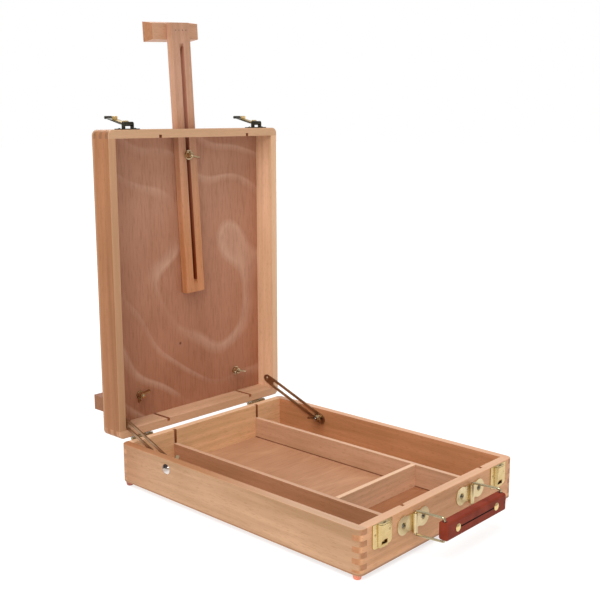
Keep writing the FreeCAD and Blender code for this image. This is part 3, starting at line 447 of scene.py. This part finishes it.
def leather():
    """Oxblood leather with painted shade in the stitched groove between the rivets; darker around
    the bails' holes.
    """
    s = Shader("grip leather", roughness=0.55, Specular_IOR_Level=0.08)
    cells = s.tree.nodes.new("ShaderNodeTexVoronoi")
    s.link(s.scaled(), cells.inputs["Vector"])
    cells.inputs["Scale"].default_value = LEATHER_CELLS
    clouds = s.noise(s.scaled(), *LEATHER_CLOUDS)
    skin = s.mix(s.span(clouds, *SOFT_RANGE), *LEATHER_TONES)
    at = s.axes()
    aside, high = s.apart(at[0], GRIP_MIDDLE[0]), s.apart(at[2], GRIP_MIDDLE[2])
    deep = s.math("SUBTRACT", at[1], GRIP_MIDDLE[1])
    # painted shade in the stitched groove between the rivets
    stitch_shade = s.times(s.span(high, *STITCH_RANGE), s.math("LESS_THAN", aside, STITCH_HALF))
    stitch_shade = s.times(stitch_shade, s.math("LESS_THAN", at[1], STITCH_FRONT_Y))
    across = s.math("POWER", s.apart(aside, HOLE_ASIDE), 2.0)
    from_hole = s.math("SQRT", s.add(across, s.times(deep, deep)))
    ring = s.times(s.span(from_hole, *HOLE_RANGE), s.span(high, *HOLE_FACE_RANGE))
    s.colour(s.mix(s.math("MAXIMUM", stitch_shade, ring), skin, LEATHER_SHADE_AND_RING))
    s.bump(cells.outputs["Distance"], depth=0.15 * MM, strength=0.35)
    return s.material


def rubber():
    s = Shader("salmon rubber", roughness=0.6)
    grain = s.noise(s.scaled(), *RUBBER_GRAIN)
    front = s.mix(s.span(grain, *SOFT_RANGE), *RUBBER_TONES)
    # painted shade darkens the back feet
    s.colour(s.mix(s.span(s.axes()[1], *RUBBER_SHADE_Y), front, RUBBER_BACK_SHADE))
    s.bump(grain, depth=0.1 * MM, strength=0.4)
    return s.material


# ---- scene -----------------------------------------------------------------------------
def paint(material, *nodes):
    for node in nodes:
        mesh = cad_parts[node].data
        mesh.materials.clear()
        mesh.materials.append(material)


def paint_frame():
    for seed, (node, (grain, colour, lit_facing)) in enumerate(WOOD.items(), 1):
        paint(plain_beech(node, grain, colour, seed, lit_facing), node)
    paint(mast_beech(), "mast_bar")
    paint(lauan("lid plywood", **LID_SHEET), "lid_panel")
    paint(lauan("bottom plywood", **BOTTOM_SHEET), "base_bottom_panel")
    for name, (bright, dull, roughness, nodes) in METALS.items():
        paint(metal(name, bright, dull, roughness), *nodes)
    paint(chrome(), "stay_bolts")
    paint(leather(), "handle_grip")
    paint(rubber(), "rubber_feet")


def add_floor():
    bpy.ops.mesh.primitive_plane_add(size=FLOOR_SIZE, location=(0.0, 0.0, 0.0))
    floor = bpy.context.object
    floor.name = "floor"
    s = Shader("floor", roughness=0.9, Specular_IOR_Level=0.1, Emission_Color=(*WHITE, 1.0),
               Emission_Strength=FLOOR_GLOW)
    s.colour(s.mix(s.noise(s.scaled(), FLOOR_PATCHES), *FLOOR_GREYS))
    floor.data.materials.append(s.material)


def add_world():
    """White to the camera; for lighting, a soft studio that is darker near the floor."""
    world = bpy.data.worlds.new("studio")
    world.use_nodes = True
    tree = world.node_tree
    soft = tree.nodes["Background"]
    place = tree.nodes.new("ShaderNodeTexCoord")
    split = tree.nodes.new("ShaderNodeSeparateXYZ")
    tree.links.new(place.outputs["Generated"], split.inputs[0])
    ramp = tree.nodes.new("ShaderNodeMapRange")
    tree.links.new(split.outputs[2], ramp.inputs[0])
    for socket, number in zip(ramp.inputs[1:5], (0.0, SKY_TOP, SKY_LOW, SKY_HIGH)):
        socket.default_value = number
    tree.links.new(ramp.outputs[0], soft.inputs["Strength"])
    white = tree.nodes.new("ShaderNodeBackground")
    white.inputs["Strength"].default_value = 1.0
    for background in (soft, white):
        background.inputs["Color"].default_value = (*WHITE, 1.0)
    ray = tree.nodes.new("ShaderNodeLightPath")
    blend = tree.nodes.new("ShaderNodeMixShader")
    tree.links.new(ray.outputs["Is Camera Ray"], blend.inputs[0])
    tree.links.new(soft.outputs[0], blend.inputs[1])
    tree.links.new(white.outputs[0], blend.inputs[2])
    tree.links.new(blend.outputs[0], tree.nodes["World Output"].inputs["Surface"])
    bpy.context.scene.world = world


def add_lamp(name, kind, place, target, energy):
    light = bpy.data.lights.new(name, kind)
    light.energy = energy
    lamp = bpy.data.objects.new(name, light)
    lamp.visible_camera = False
    lamp.location = place
    lamp.rotation_euler = (target - Vector(place)).to_track_quat("-Z", "Y").to_euler()
    bpy.context.collection.objects.link(lamp)
    return light


def add_lights():
    sun = add_lamp("sun", "SUN", SUN_FROM * 2, Vector((0.0, 0.0, 0.0)), SUN_STRENGTH)
    sun.angle = math.radians(SUN_ANGLE)
    sun.color = SUN_COLOUR
    for name, place, size, power, colour in LAMPS:
        light = add_lamp(name, "AREA", place, LAMP_TARGET, power)
        light.shape, light.size, light.color = "SQUARE", size, colour


def add_camera():
    data = bpy.data.cameras.new("camera")
    data.lens, data.sensor_width = LENS_MM, SENSOR_MM
    data.shift_x, data.shift_y = SHIFT
    camera = bpy.data.objects.new("camera", data)
    a, e, roll = (math.radians(x) for x in (CAMERA_AZIMUTH, CAMERA_DOWN, CAMERA_ROLL))
    back = Vector((math.sin(a) * math.cos(e), -math.cos(a) * math.cos(e), math.sin(e)))
    level = Vector((math.cos(a), math.sin(a), 0.0))
    rise = back.cross(level)
    right = level * math.cos(roll) + rise * math.sin(roll)
    up = back.cross(right)
    turn = Matrix((right, up, back)).transposed().to_4x4()
    camera.matrix_world = Matrix.Translation(CAMERA_AT) @ turn
    bpy.context.collection.objects.link(camera)
    bpy.context.scene.camera = camera


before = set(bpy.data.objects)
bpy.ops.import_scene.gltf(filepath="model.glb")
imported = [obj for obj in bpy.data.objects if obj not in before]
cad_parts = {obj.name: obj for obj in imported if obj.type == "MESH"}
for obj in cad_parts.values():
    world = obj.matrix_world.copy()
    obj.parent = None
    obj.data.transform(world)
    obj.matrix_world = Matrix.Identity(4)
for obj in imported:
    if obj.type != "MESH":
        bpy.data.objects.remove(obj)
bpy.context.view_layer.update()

paint_frame()
add_floor()
add_world()
add_lights()
add_camera()
bpy.context.scene.view_settings.view_transform = "Standard"
